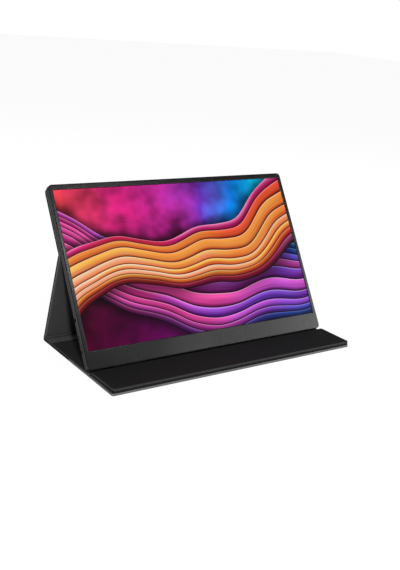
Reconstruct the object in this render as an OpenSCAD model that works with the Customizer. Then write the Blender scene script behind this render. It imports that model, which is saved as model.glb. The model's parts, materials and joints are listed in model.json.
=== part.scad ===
// Portable 15.6 inch monitor standing on its folding cover.
// Frame: X to the right as seen from the front, Y to the back, Z up, millimetres.
// Origin: middle of the box's footprint, at the table.

/* [Screen] */
// Width of the lit area
active_w = 344.16; // [330:0.01:346]
// Height of the lit area
active_h = 193.59; // [186:0.01:196]
// Frame beside the lit area, each side
side_border = 5.42; // [4.8:0.01:9]
// Frame above the lit area
top_border = 7; // [6:0.1:12]
// Chin below the lit area
chin = 21.9; // [21:0.1:30]

/* [Monitor body] */
// Thickness, front face to back face
mon_t = 8.4; // [8.2:0.1:10]
// Depth of the front frame's rim, where it meets the rear shell
rim_d = 2.2; // [2:0.1:2.4]
// Corner radius seen from the front
corner_r = 5; // [3:0.5:7]
// Radius along the back edges
back_r = 2.2; // [1:0.1:2.2]
// Wall of the rear shell at its sides
wall = 1.3; // [1.1:0.1:1.4]
// Floor of the rear shell
floor_t = 1.1; // [0.9:0.1:1.2]

/* [Stand] */
// Angle of the screen above the table
screen_angle = 57.2; // [52:0.1:62]
// Height of the screen's bottom front edge above the table
edge_z = 6.8; // [6.7:0.1:8]
// Distance up the back from the bottom edge to the middle fold
fold_v = 140; // [132:1:146]
// Distance from the bottom front edge back to the rear fold's axis
rear_y = 113.7; // [106:0.1:122]

/* [Cover] */
// Width of the cover
cover_w = 355.8; // [355.4:0.1:362]
// Thickness of each cover panel
cover_t = 2.8; // [2.6:0.1:3]
// Outer skin
skin_t = 0.7; // [0.5:0.1:0.8]
// Inner lining
lining_t = 0.5; // [0.4:0.1:0.6]
// Turned-in hem around each panel
hem = 2.6; // [2:0.1:4]
// Spine strip between the base and the strut
spine_w = 16; // [12:1:20]
// Gap between the panels' board edges and a fold's axis
fold_gap = 1.3; // [1.2:0.1:1.6]
// Position of the front fold's axis before the bottom front edge
front_y = 56.3; // [52:0.1:62]
// How much narrower the folded-back lip is, each side
lip_inset = 1.3; // [0:0.1:4]
// Slope of the folded-back lip
lip_tilt = 1; // [0.6:0.1:1.4]

/* [Controls] */
// Height of the headphone socket up the left side
jack_v = 60; // [56:1:80]
// Height of the menu rocker
rocker_v = 35; // [33:1:40]
// Height of the power button
power_v = 22.5; // [20:0.5:24]

/* [Hidden] */
$fn = 64;

mon_w = active_w + 2*side_border;
mon_h = active_h + chin + top_border;
hw = mon_w/2;
gap_b = 0.2;                         // between the monitor's back and the cover
rear_w = mon_t + gap_b + cover_t/2;  // depth of the rear panel's middle plane
ht = cover_t/2;
board_t = cover_t - skin_t - lining_t;

// The middle fold's axis, the strut's length and its angle
mid_y = fold_v*cos(screen_angle) + rear_w*sin(screen_angle);
mid_z = edge_z + fold_v*sin(screen_angle) - rear_w*cos(screen_angle);
strut_l = sqrt(pow(mid_y - rear_y, 2) + pow(mid_z - ht, 2));
strut_a = atan2(mid_z - ht, mid_y - rear_y);

// Crease under the screen's bottom edge, and the front fold
crease_y = -1.4;
roll_r = 0.9;
lip_gap = 1.35;
front_z = cover_t + lip_gap;
lip_end = -3.9;
lip_l = (front_y + lip_end)/cos(lip_tilt) - 0.02;

// The footprint's middle, so that the origin is at the middle of the box
y_low = -front_y - roll_r;
y_high = (fold_v + 82)*cos(screen_angle) + (mon_t + gap_b + ht)*sin(screen_angle) - ht*cos(screen_angle) + ht;
y_mid = (y_low + y_high)/2;
rear_top = fold_v + 82;

side_w = 5;      // depth of the sockets' and buttons' middle line
pan_hw = 175.33; // half width of the display panel
pan_lo = chin - 6;
pan_hi = chin + active_h + 3.6;

leather = "#1d1d1e";
lining_c = "#2b2b2d";
plastic = "#232325";
board_c = "#8a7a62";
pcb = "#1f5a34";
steel = "#b9bcc0";

module place() { translate([0, -y_mid, 0]) children(); }
module mon() { place() translate([0, 0, edge_z]) rotate([screen_angle, 0, 0]) children(); }
module strut_frame() { place() translate([0, rear_y, ht]) rotate([strut_a, 0, 0]) children(); }
module lip_frame() { place() translate([0, -front_y, front_z]) rotate([-lip_tilt, 0, 0]) children(); }

module block(x0, x1, y0, y1, z0, z1) {
  translate([x0, y0, z0]) cube([x1 - x0, y1 - y0, z1 - z0]);
}
// Rounded rectangle from squares and circles
module rrect(x0, x1, y0, y1, r) {
  translate([x0 + r, y0]) square([x1 - x0 - 2*r, y1 - y0]);
  translate([x0, y0 + r]) square([x1 - x0, y1 - y0 - 2*r]);
  for (x = [x0 + r, x1 - r], y = [y0 + r, y1 - r]) translate([x, y]) circle(r);
}
// Extrusion along X of a profile in Y and Z
module along_x(x0, x1) {
  translate([x0, 0, 0]) rotate([90, 0, 90]) linear_extrude(height = x1 - x0) children();
}
// Stadium hole or plug along X, wide in Y
module stadium_x(x0, x1, y, z, w, h) {
  along_x(x0, x1) {
    translate([y - w/2 + h/2, z - h/2]) square([w - h, h]);
    for (s = [-1, 1]) translate([y + s*(w/2 - h/2), z]) circle(h/2);
  }
}

// ---- Monitor ----

module outline(grow = 0) {
  rrect(-hw - grow, hw + grow, -grow, mon_h + grow, corner_r + grow);
}

module front_frame() {
  mon() color(plastic) difference() {
    translate([0, 0, -rim_d]) linear_extrude(height = rim_d) outline();
    translate([0, 0, -rim_d - 1]) linear_extrude(height = rim_d + 1 - 0.7) outline(-wall);
    block(-active_w/2 - 0.3, active_w/2 + 0.3, chin - 0.3, chin + active_h + 0.3, -1, 1);
  }
}
module lcd_cell() {
  mon() color("#0b0c10") block(-pan_hw + 0.5, pan_hw - 0.5, chin - 4, pan_hi - 0.5, -1.6, -0.7);
}
module optical_films() {
  mon() color("#f4f4f0") block(-pan_hw + 0.6, pan_hw - 0.6, chin - 3.6, pan_hi - 0.6, -1.85, -1.6);
}
module light_guide() {
  mon() color("#dfe8ee") block(-pan_hw + 0.6, pan_hw - 0.6, chin - 3.6, pan_hi - 0.6, -2.4, -1.85);
}
module reflector_sheet() {
  mon() color("#fafafa") block(-pan_hw + 0.6, pan_hw - 0.6, chin - 3.6, pan_hi - 0.6, -2.5, -2.4);
}
module led_strip() {
  mon() color("#e8e0a0") {
    block(-168, 168, pan_lo + 0.35, pan_lo + 0.95, -2.48, -1.7);
    for (i = [0 : 41]) block(-166 + i*8, -163 + i*8, pan_lo + 0.95, pan_lo + 2.2, -2.4, -1.8);
  }
}
module panel_tray() {
  mon() color(steel) difference() {
    block(-pan_hw, pan_hw, pan_lo, pan_hi, -2.75, -1.65);
    block(-pan_hw + 0.3, pan_hw - 0.3, pan_lo + 0.3, pan_hi - 0.3, -2.5, 0);
  }
}
module panel_board() {
  mon() color(pcb) {
    block(-150, 150, 3.2, 13.6, -2.1, -1.4);
    for (i = [0 : 7]) block(-140 + i*38, -126 + i*38, 5, 8.4, -2.9, -2.1);
  }
}
module flex_tabs() {
  mon() color("#b06a2a")
    for (i = [0 : 7]) block(-142 + i*37.2, -124 + i*37.2, 13.6, chin - 4, -1.2, -1.05);
}

module shell_solid() {
  intersection() {
    translate([0, 0, -mon_t]) linear_extrude(height = mon_t - rim_d) outline();
    along_x(-hw - 1, hw + 1) {
      translate([0, -mon_t + back_r]) square([mon_h, mon_t - back_r - rim_d]);
      translate([back_r, -mon_t]) square([mon_h - 2*back_r, mon_t - rim_d]);
      for (y = [back_r, mon_h - back_r]) translate([y, -mon_t + back_r]) circle(back_r);
    }
    translate([0, mon_h + 1, 0]) rotate([90, 0, 0]) linear_extrude(height = mon_h + 2) {
      translate([-hw, -mon_t + back_r]) square([2*hw, mon_t - back_r - rim_d]);
      translate([-hw + back_r, -mon_t]) square([2*hw - 2*back_r, mon_t - rim_d]);
      for (x = [-hw + back_r, hw - back_r]) translate([x, -mon_t + back_r]) circle(back_r);
    }
  }
}
boss_pts = [[104, 24], [164, 24], [104, 84], [164, 84], [-60, 30], [60, 30]];
speaker_x = 118;
module rear_shell() {
  mon() color(plastic) difference() {
    union() {
      difference() {
        shell_solid();
        translate([0, 0, -mon_t + floor_t]) linear_extrude(height = mon_t) 
          rrect(-hw + wall, hw - wall, wall, mon_h - wall, corner_r - wall);
      }
      for (p = boss_pts) translate([p[0], p[1], -mon_t + floor_t]) cylinder(r = 2.2, h = 1.5);
    }
    for (p = boss_pts) translate([p[0], p[1], -mon_t + floor_t - 0.3]) cylinder(r = 0.85, h = 3);
    // right side sockets
    for (v = [36, 52]) stadium_x(hw - 2, hw + 1, v, -side_w, 9.3, 3.5);
    block(hw - 2, hw + 1, 64.2, 75.8, -side_w - 1.8, -side_w + 1.8);
    // left side: headphone socket, rocker and button
    translate([-hw - 1, jack_v, -side_w]) rotate([0, 90, 0]) cylinder(r = 2.35, h = 3);
    block(-hw - 1, -hw + 2, rocker_v - 6.25, rocker_v + 6.25, -side_w - 1.4, -side_w + 1.4);
    translate([-hw - 1, power_v, -side_w]) rotate([0, 90, 0]) cylinder(r = 1.8, h = 3);
    // sound slots through the back
    for (s = [-1, 1], i = [0 : 7])
      block(s*speaker_x - 18.6 + i*5, s*speaker_x - 17.4 + i*5, 7, 17, -mon_t - 1, -mon_t + floor_t + 0.5);
  }
}

module main_board() {
  mon() color(pcb) difference() {
    block(98, 167.8, 20, 90, -5.6, -4.7);
    for (p = [[104, 24], [164, 24], [104, 84], [164, 84]])
      translate([p[0], p[1], -7]) cylinder(r = 1, h = 4);
  }
}
module board_chips() {
  mon() color("#26262a") {
    block(124, 138, 52, 66, -4.7, -3.6);
    block(112, 120, 34, 40, -4.7, -3.8);
    block(144, 150, 34, 40, -4.7, -3.8);
    block(126, 134, 76, 80, -4.7, -3.9);
    for (i = [0 : 5]) block(110 + i*8, 113 + i*8, 26, 28, -4.7, -3.9);
  }
}
module shield_can() {
  mon() color(steel) difference() {
    block(120, 142, 46, 72, -4.7, -3.1);
    block(120.3, 141.7, 46.3, 71.7, -5, -3.35);
  }
}
module usb_port(v) {
  difference() {
    stadium_x(168.2, hw - 0.2, v, -side_w, 8.94, 3.2);
    stadium_x(170.2, hw + 1, v, -side_w, 8.34, 2.6);
  }
  block(169.5, hw - 1.2, v - 3.35, v + 3.35, -side_w - 0.35, -side_w + 0.35);
}
module usb_port_lower() { mon() color(steel) usb_port(36); }
module usb_port_upper() { mon() color(steel) usb_port(52); }
module hdmi2d(g) {
  polygon([[64.4 + g, -side_w + 1.6 - g], [75.6 - g, -side_w + 1.6 - g], [75.6 - g, -side_w - 0.4],
           [74.2 - g, -side_w - 1.6 + g], [65.8 + g, -side_w - 1.6 + g], [64.4 + g, -side_w - 0.4]]);
}
module video_port() {
  mon() color(steel) {
    difference() {
      along_x(168.2, hw - 0.2) hdmi2d(0);
      along_x(170.2, hw + 1) hdmi2d(0.3);
    }
    block(169.5, hw - 1.2, 66.2, 73.8, -side_w - 0.1, -side_w + 0.5);
  }
}
module headphone_jack() {
  mon() color("#18181a") difference() {
    union() {
      block(-hw + wall + 0.1, -160.5, jack_v - 3, jack_v + 3, -side_w - 2.2, -side_w + 2.2);
      translate([-hw + 0.2, jack_v, -side_w]) rotate([0, 90, 0]) cylinder(r = 2.25, h = 3);
    }
    translate([-hw - 1, jack_v, -side_w]) rotate([0, 90, 0]) cylinder(r = 1.8, h = 15.2);
  }
}
module key_board() {
  mon() color(pcb) block(-173.2, -172.4, 15, 47, -side_w - 2.1, -side_w + 1.9);
}
module tact_switches() {
  mon() color("#a8a8ac") for (v = [power_v, rocker_v - 4, rocker_v + 4]) {
    block(-174.2, -173.2, v - 1.5, v + 1.5, -side_w - 1.5, -side_w + 1.5);
    translate([-174.6, v, -side_w]) rotate([0, 90, 0]) cylinder(r = 0.8, h = 0.4);
  }
}
module rocker_pin() {
  mon() color(steel) {
    translate([-hw + 2, rocker_v, -mon_t + floor_t]) cylinder(r = 0.5, h = mon_t - floor_t - 2.85);
    block(-hw + 1.6, -hw + 2.4, rocker_v - 0.4, rocker_v + 0.4, -mon_t + floor_t, -side_w - 1.6);
  }
}
module menu_rocker() {
  mon() color("#2e2e31") difference() {
    union() {
      block(-hw - 0.2, -hw + 1.2, rocker_v - 6, rocker_v + 6, -side_w - 1.2, -side_w + 1.2);
      translate([-hw + 2, rocker_v, -side_w - 1.2]) cylinder(r = 1.1, h = 2.4);
      for (s = [-1, 1]) block(-hw + 1.1, -hw + 2.55, rocker_v + s*4 - 0.6, rocker_v + s*4 + 0.6, -side_w - 0.8, -side_w + 0.8);
    }
    translate([-hw + 2, rocker_v, -side_w - 3]) cylinder(r = 0.55, h = 6);
  }
}
module power_button() {
  mon() color("#2e2e31") {
    translate([-hw - 0.2, power_v, -side_w]) rotate([0, 90, 0]) cylinder(r = 1.65, h = 1.9);
    translate([-hw + 1.5, power_v, -side_w]) rotate([0, 90, 0]) cylinder(r = 1.95, h = 0.6);
    translate([-hw + 2.0, power_v, -side_w]) rotate([0, 90, 0]) cylinder(r = 0.7, h = 0.4);
  }
}
module speaker(s) {
  mon() color("#1a1a1c") difference() {
    translate([0, 0, -7.1]) linear_extrude(height = 3.4)
      rrect(s*speaker_x - 30, s*speaker_x + 30, 4.6, 18.6, 3);
    translate([0, 0, -8]) linear_extrude(height = 1.5)
      rrect(s*speaker_x - 20, s*speaker_x + 20, 6.6, 16.6, 4.9);
  }
}
module speaker_left() { speaker(-1); }
module speaker_right() { speaker(1); }
module display_cable() {
  mon() color("#d9d2c0") {
    block(70, 90, 14, 14.3, -3.6, -3.0);
    block(70, 90, 14, 60, -3.15, -3.0);
    block(70, 98, 56, 60, -3.3, -3.15);
    block(90, 98.5, 56, 60, -4.7, -3.3);
  }
}
module key_cable() {
  mon() color("#d9d2c0") {
    block(-172.4, -168, 28, 32, -3.55, -3.35);
    block(-168, 108, 28, 32, -3.55, -3.35);
    block(108, 110, 28, 32, -4.7, -3.35);
  }
}
magnet_x = [-130, -46, 46, 130];
magnet_v = [162, 206];
module shell_magnets() {
  mon() color(steel) for (x = magnet_x, v = magnet_v)
    block(x - 15, x + 15, v - 4, v + 4, -mon_t + floor_t, -mon_t + floor_t + 1.5);
}
module screws() {
  mon() color(steel) {
    for (p = [[104, 24], [164, 24], [104, 84], [164, 84]]) {
      translate([p[0], p[1], -7.4]) cylinder(r = 0.8, h = 3.4);
      translate([p[0], p[1], -4.7]) cylinder(r = 1.7, h = 0.8);
    }
    for (p = [[-60, 30], [60, 30]]) {
      translate([p[0], p[1], -7.4]) cylinder(r = 0.8, h = 2.2);
      translate([p[0], p[1], -5.8]) cylinder(r = 1.7, h = 0.8);
    }
  }
}
module foot_pads() {
  mon() color("#151516") for (x = [-120, 120])
    block(x - 22, x + 22, -0.35, 0, -4.6, -2.6);
}

// ---- Cover ----

// A panel's skin: full-round ends in Y, outer face at z0, open on its inner face.
// The up flag is 1 when the inner face looks to +Z.
module skin_slab(w, y0, y1, z0) {
  along_x(-w/2, w/2) {
    translate([y0 + ht, z0]) square([y1 - y0 - cover_t, cover_t]);
    for (y = [y0 + ht, y1 - ht]) translate([y, z0 + ht]) circle(ht);
  }
}
module pocket(w, y0, y1, z0, up) {
  block(-w/2 + hem, w/2 - hem, y0 + hem, y1 - hem,
        up ? z0 + skin_t : z0 - 1, up ? z0 + cover_t + 1 : z0 + cover_t - skin_t);
}
module stiffener(w, y0, y1, z0, up) {
  block(-w/2 + hem, w/2 - hem, y0 + hem, y1 - hem,
        up ? z0 + skin_t : z0 + lining_t, up ? z0 + cover_t - lining_t : z0 + cover_t - skin_t);
}
module lining(w, y0, y1, z0, up) {
  block(-w/2 + hem, w/2 - hem, y0 + hem, y1 - hem,
        up ? z0 + cover_t - lining_t : z0, up ? z0 + cover_t : z0 + lining_t);
}
// Rolled fold of the skin on a fold's axis, tied to a panel edge at y_to
module fold_roll(w, y, z, r, y_to, z_to) {
  along_x(-w/2, w/2) translate([y, z]) circle(r);
  d = sqrt(pow(y_to - y, 2) + pow(z_to - z, 2));
  translate([0, y, z]) rotate([atan2(z_to - z, y_to - y), 0, 0]) block(-w/2, w/2, 0, d, -0.4, 0.4);
}

base_y0 = crease_y + fold_gap;
base_y1 = rear_y - 1.8;
spine_y0 = base_y1 - spine_w;
module base_skin() {
  place() color(leather) {
    difference() {
      skin_slab(cover_w, base_y0, base_y1, 0);
      pocket(cover_w, base_y0, spine_y0 + hem - 1, 0, true);
      pocket(cover_w, spine_y0 - hem + 1, base_y1, 0, true);
    }
    fold_roll(cover_w - 3, crease_y, ht, 1.0, base_y0 + 0.6, ht);
    fold_roll(cover_w - 3, rear_y, ht, 1.2, base_y1 - 0.6, ht);
  }
}
module base_board() { place() color(board_c) stiffener(cover_w, base_y0, spine_y0 + hem - 1, 0, true); }
module base_lining() { place() color(lining_c) lining(cover_w, base_y0, spine_y0 + hem - 1, 0, true); }
module spine_board() { place() color(board_c) stiffener(cover_w, spine_y0 - hem + 1, base_y1, 0, true); }
module spine_lining() { place() color("#3a3a3c") lining(cover_w, spine_y0 - hem + 1, base_y1, 0, true); }

strut_y0 = 1.8;
strut_y1 = strut_l - fold_gap;
module strut_skin() {
  strut_frame() color(leather) {
    difference() {
      skin_slab(cover_w, strut_y0, strut_y1, -ht);
      pocket(cover_w, strut_y0, strut_y1, -ht, true);
    }
    fold_roll(cover_w - 3, strut_l, 0, 1.0, strut_y1 - 0.6, 0);
  }
}
module strut_board() { strut_frame() color(board_c) stiffener(cover_w, strut_y0, strut_y1, -ht, true); }
module strut_lining() { strut_frame() color("#343437") lining(cover_w, strut_y0, strut_y1, -ht, true); }

rear_y0 = fold_v + fold_gap;
module rear_skin() {
  mon() color(leather) difference() {
    skin_slab(cover_w, rear_y0, rear_top, -rear_w - ht);
    pocket(cover_w, rear_y0, rear_top, -rear_w - ht, true);
  }
}
module rear_board() {
  mon() color(board_c) difference() {
    stiffener(cover_w, rear_y0, rear_top, -rear_w - ht, true);
    for (x = magnet_x, v = magnet_v) block(x - 15.1, x + 15.1, v - 4.1, v + 4.1, -20, 0);
  }
}
module rear_magnets() {
  mon() color(steel) for (x = magnet_x, v = magnet_v)
    block(x - 15, x + 15, v - 4, v + 4, -rear_w - ht + skin_t, -rear_w + ht - lining_t);
}
module rear_lining() { mon() color(lining_c) lining(cover_w, rear_y0, rear_top, -rear_w - ht, true); }

flap_y0 = -front_y + 0.4;
flap_y1 = crease_y - fold_gap;
module flap_skin() {
  place() color(leather) {
    difference() {
      skin_slab(cover_w, flap_y0, flap_y1, 0);
      pocket(cover_w, flap_y0, flap_y1, 0, true);
    }
    fold_roll(cover_w - 3, -front_y, front_z, roll_r, flap_y0 + 1, ht + 0.8);
  }
}
module flap_board() {
  place() color(board_c) difference() {
    stiffener(cover_w, flap_y0, flap_y1, 0, true);
    for (x = magnet_x) block(x - 15.1, x + 15.1, -24.1, -15.9, -1, 5);
  }
}
module flap_magnets() {
  place() color(steel) for (x = magnet_x) block(x - 15, x + 15, -24, -16, skin_t, cover_t - lining_t);
}
module flap_lining() { place() color(lining_c) lining(cover_w, flap_y0, flap_y1, 0, true); }

lip_w = cover_w - 2*lip_inset;
lip_y0 = 0.4;
module lip_skin() {
  lip_frame() color(leather) difference() {
    skin_slab(lip_w, lip_y0, lip_l, lip_gap);
    pocket(lip_w, lip_y0, lip_l, lip_gap, false);
  }
}
module lip_board() {
  lip_frame() color(board_c) difference() {
    stiffener(lip_w, lip_y0, lip_l, lip_gap, false);
    for (x = magnet_x) block(x - 15.1, x + 15.1, front_y - 24.1, front_y - 15.9, -1, 8);
  }
}
module lip_magnets() {
  lip_frame() color(steel) for (x = magnet_x)
    block(x - 15, x + 15, front_y - 24, front_y - 16, lip_gap + lining_t, lip_gap + cover_t - skin_t);
}
module lip_lining() { lip_frame() color(lining_c) lining(lip_w, lip_y0, lip_l, lip_gap, false); }

front_frame();
lcd_cell();
optical_films();
light_guide();
reflector_sheet();
led_strip();
panel_tray();
panel_board();
flex_tabs();
rear_shell();
main_board();
board_chips();
shield_can();
usb_port_lower();
usb_port_upper();
video_port();
headphone_jack();
key_board();
tact_switches();
rocker_pin();
speaker_left();
speaker_right();
display_cable();
key_cable();
shell_magnets();
screws();
foot_pads();
power_button();
menu_rocker();
base_skin();
base_board();
base_lining();
spine_board();
spine_lining();
strut_skin();
strut_board();
strut_lining();
rear_skin();
rear_board();
rear_lining();
rear_magnets();
flap_skin();
flap_board();
flap_lining();
flap_magnets();
lip_skin();
lip_board();
lip_lining();
lip_magnets();
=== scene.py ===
import json
import math

import bmesh
import bpy
import numpy as np
from mathutils import Matrix, Vector

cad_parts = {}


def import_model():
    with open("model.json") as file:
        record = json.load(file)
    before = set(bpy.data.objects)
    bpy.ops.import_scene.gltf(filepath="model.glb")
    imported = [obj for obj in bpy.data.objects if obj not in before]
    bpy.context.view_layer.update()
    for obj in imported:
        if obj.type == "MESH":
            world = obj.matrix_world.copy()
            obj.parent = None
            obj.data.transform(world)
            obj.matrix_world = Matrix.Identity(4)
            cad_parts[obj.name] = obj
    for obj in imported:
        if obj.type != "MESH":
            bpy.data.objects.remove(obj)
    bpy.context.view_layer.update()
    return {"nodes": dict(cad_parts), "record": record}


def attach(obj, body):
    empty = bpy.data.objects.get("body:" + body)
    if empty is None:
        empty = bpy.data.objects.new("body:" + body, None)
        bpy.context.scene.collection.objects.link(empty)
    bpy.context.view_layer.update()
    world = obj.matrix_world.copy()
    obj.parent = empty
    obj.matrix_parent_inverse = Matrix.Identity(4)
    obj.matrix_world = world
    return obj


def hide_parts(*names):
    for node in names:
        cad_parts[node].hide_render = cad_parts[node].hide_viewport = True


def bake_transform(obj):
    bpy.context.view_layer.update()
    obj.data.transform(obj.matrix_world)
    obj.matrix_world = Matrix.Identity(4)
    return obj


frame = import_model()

scene = bpy.context.scene
scene.view_settings.view_transform = "Standard"
scene.view_settings.look = "None"

# ------------------------------------------------------------------ sizes, as in the CAD, in millimetres
ANGLE = 57.2
EDGE_Z = 6.8
FOLD_V = 140.0
MON_T = 8.4
HT = 1.4
REAR_W = MON_T + 0.2 + HT
REAR_Y = 113.7
FRONT_Y = -56.3
FRONT_Z = 4.15
CREASE_Y = -1.4
TILT = 1.0
LIP_L = (56.3 - 3.9) / math.cos(math.radians(TILT)) - 0.02
COVER_W = 355.8
LIP_W = COVER_W - 2.6
ACT_W, ACT_H, CHIN, TOP, SIDE = 344.16, 193.59, 21.9, 7.0, 5.42
MON_W, MON_H = ACT_W + 2 * SIDE, ACT_H + CHIN + TOP
HW = MON_W / 2
CA, SA = math.cos(math.radians(ANGLE)), math.sin(math.radians(ANGLE))
Y_LOW = FRONT_Y - 0.9
Y_HIGH = (FOLD_V + 82) * CA + REAR_W * SA - HT * CA + HT
Y_MID = (Y_LOW + Y_HIGH) / 2
MID_Y = FOLD_V * CA + REAR_W * SA
MID_Z = EDGE_Z + FOLD_V * SA - REAR_W * CA
STRUT_L = math.hypot(MID_Y - REAR_Y, MID_Z - HT)


def world(x, y, z):
    """A point given in millimetres, with y counted from the screen's bottom front edge, in the frame's metres."""
    return (x * 0.001, (y - Y_MID) * 0.001, z * 0.001)


def mon(x, v, w):
    """A point on the monitor: x across, v up the screen from its bottom edge, w out of its front face."""
    return world(x, v * CA - w * SA, EDGE_Z + v * SA + w * CA)


# ------------------------------------------------------------------ camera
def make_camera(az, el, roll, dist, target, f_px, cx, cy):
    a, e, r = (math.radians(t) for t in (az, el, roll))
    back = Vector((math.sin(a) * math.cos(e), -math.cos(a) * math.cos(e), math.sin(e)))
    right = (-back).cross(Vector((0, 0, 1))).normalized()
    up = right.cross(-back)
    x_axis = right * math.cos(r) + up * math.sin(r)
    y_axis = -right * math.sin(r) + up * math.cos(r)
    cam = bpy.data.cameras.new("camera")
    ob = bpy.data.objects.new("camera", cam)
    scene.collection.objects.link(ob)
    pos = Vector(target) + back * dist
    ob.matrix_world = Matrix((
        (x_axis.x, y_axis.x, back.x, pos.x),
        (x_axis.y, y_axis.y, back.y, pos.y),
        (x_axis.z, y_axis.z, back.z, pos.z),
        (0, 0, 0, 1)))
    cam.sensor_fit = "AUTO"
    cam.sensor_width = 36.0
    cam.lens = f_px / 570.0 * 36.0
    cam.shift_x = (200.0 - cx) / 570.0
    cam.shift_y = (cy - 285.0) / 570.0
    cam.clip_start, cam.clip_end = 0.01, 20.0
    scene.camera = ob
    return ob


make_camera(-36.07, 17.49, 5.29, 1.03414, world(-40.41, 20.0, 105.65), 863.69, 185.98, 269.98)


# ------------------------------------------------------------------ node helpers
class Mat:
    """A material with a principled shader and short ways to add procedural nodes."""

    def __init__(self, name, coords="Object"):
        self.m = bpy.data.materials.new(name)
        self.m.use_nodes = True
        self.t = self.m.node_tree
        self.p = self.t.nodes["Principled BSDF"]
        self.tc = self.t.nodes.new("ShaderNodeTexCoord")
        self.v = self.tc.outputs[coords]

    def put(self, socket, value):
        if hasattr(value, "links") or hasattr(value, "is_linked"):
            self.t.links.new(value, socket)
        elif isinstance(value, (tuple, list)) and len(value) == 3 and socket.type == "RGBA":
            socket.default_value = (*value, 1.0)
        else:
            socket.default_value = value

    def set(self, **kw):
        names = {"base": "Base Color", "rough": "Roughness", "metal": "Metallic", "spec": "Specular IOR Level",
                 "sheen": "Sheen Weight", "sheen_rough": "Sheen Roughness", "sheen_tint": "Sheen Tint", "coat": "Coat Weight",
                 "coat_rough": "Coat Roughness", "normal": "Normal", "emit": "Emission Color",
                 "emit_w": "Emission Strength", "ior": "IOR", "trans": "Transmission Weight", "coat_ior": "Coat IOR",
                 "aniso": "Anisotropic"}
        for k, val in kw.items():
            self.put(self.p.inputs[names[k]], val)
        return self

    def node(self, kind, out=0, props=None, **inputs):
        n = self.t.nodes.new(kind)
        for k, val in (props or {}).items():
            setattr(n, k, val)
        for k, val in inputs.items():
            key = int(k[1:]) if k[0] == "i" and k[1:].isdigit() else k.replace("_", " ")
            self.put(n.inputs[key], val)
        return n.outputs[out]

    def scaled(self, s, loc=(0, 0, 0), rot=(0, 0, 0), vec=None):
        s = s if isinstance(s, (tuple, list)) else (s, s, s)
        return self.node("ShaderNodeMapping", Vector=vec or self.v, Scale=s, Location=loc, Rotation=rot)

    def noise(self, scale, detail=3.0, rough=0.5, vec=None, distort=0.0, out=0):
        return self.node("ShaderNodeTexNoise", out, None, Vector=vec or self.v, Scale=scale, Detail=detail,
                         Roughness=rough, Distortion=distort)

    def voronoi(self, scale, feature="F1", out=0, vec=None, rand=1.0, smooth=None):
        n = self.t.nodes.new("ShaderNodeTexVoronoi")
        n.feature = feature
        self.put(n.inputs["Vector"], vec or self.v)
        self.put(n.inputs["Scale"], scale)
        self.put(n.inputs["Randomness"], rand)
        if smooth is not None and "Smoothness" in n.inputs:
            self.put(n.inputs["Smoothness"], smooth)
        return n.outputs[out]

    def math(self, op, a, b=0.0, c=0.0, clamp=False):
        n = self.t.nodes.new("ShaderNodeMath")
        n.operation = op
        n.use_clamp = clamp
        for i, val in enumerate((a, b, c)):
            self.put(n.inputs[i], val)
        return n.outputs[0]

    def span(self, val, a, b, c=0.0, d=1.0, kind="LINEAR"):
        n = self.t.nodes.new("ShaderNodeMapRange")
        n.interpolation_type = kind
        for i, x in enumerate((val, a, b, c, d)):
            self.put(n.inputs[i], x)
        return n.outputs[0]

    def ramp(self, val, stops, kind="LINEAR"):
        n = self.t.nodes.new("ShaderNodeValToRGB")
        n.color_ramp.interpolation = kind
        e = n.color_ramp.elements
        while len(e) > 1:
            e.remove(e[-1])
        e[0].position, e[0].color = stops[0][0], (*stops[0][1], 1)
        for pos, col in stops[1:]:
            e.new(pos).color = (*col, 1)
        self.put(n.inputs[0], val)
        return n.outputs[0]

    def mix(self, fac, a, b, blend="MIX"):
        n = self.t.nodes.new("ShaderNodeMix")
        n.data_type = "RGBA"
        n.blend_type = blend
        self.put(n.inputs["Factor"], fac)
        self.put(n.inputs[6], a)
        self.put(n.inputs[7], b)
        return n.outputs[2]

    def xyz(self, vec=None):
        n = self.t.nodes.new("ShaderNodeSeparateXYZ")
        self.put(n.inputs[0], vec or self.v)
        return n.outputs

    def bump(self, height, strength=0.3, dist=0.0005, normal=None):
        n = self.t.nodes.new("ShaderNodeBump")
        self.put(n.inputs["Height"], height)
        n.inputs["Strength"].default_value = strength
        n.inputs["Distance"].default_value = dist
        if normal is not None:
            self.put(n.inputs["Normal"], normal)
        return n.outputs[0]


def lin(v):
    """sRGB 0-255 to linear."""
    c = v / 255.0
    return c / 12.92 if c <= 0.04045 else ((c + 0.055) / 1.055) ** 2.4


def grey(v, r=1.0, g=1.0, b=1.0):
    return (lin(v) * r, lin(v) * g, lin(v) * b)


# ------------------------------------------------------------------ materials
def leather_material():
    """Black synthetic leather: fine pebble grain, pores, slight colour drift and handled gloss."""
    k = Mat("cover_leather", "UV")
    warp = k.noise(260.0, 2.0, 0.5, out=1)
    vec = k.node("ShaderNodeVectorMath", 0, {"operation": "MULTIPLY_ADD"}, i0=warp, i1=(0.0006, 0.0006, 0.0), i2=k.v)
    cells = k.voronoi(1500.0, "DISTANCE_TO_EDGE", vec=vec)
    pebble = k.span(cells, 0.0, 0.22, 0.0, 1.0, "SMOOTHSTEP")
    fine = k.noise(5200.0, 2.0, 0.6)
    broad = k.noise(26.0, 4.0, 0.55)
    height = k.math("ADD", pebble, k.math("MULTIPLY", fine, 0.35))
    col = k.ramp(k.math("ADD", k.math("MULTIPLY", pebble, 0.55), k.math("MULTIPLY", broad, 0.5)),
                 [(0.1, (0.0024, 0.0024, 0.0025)), (0.6, (0.0043, 0.0043, 0.0044)), (1.0, (0.0068, 0.0068, 0.0068))])
    k.set(base=col, rough=k.span(broad, 0.3, 0.7, 0.58, 0.7), spec=0.065, sheen=0.004, sheen_rough=0.5,
          normal=k.bump(height, 0.35, 0.00012))
    return k.m


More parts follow.
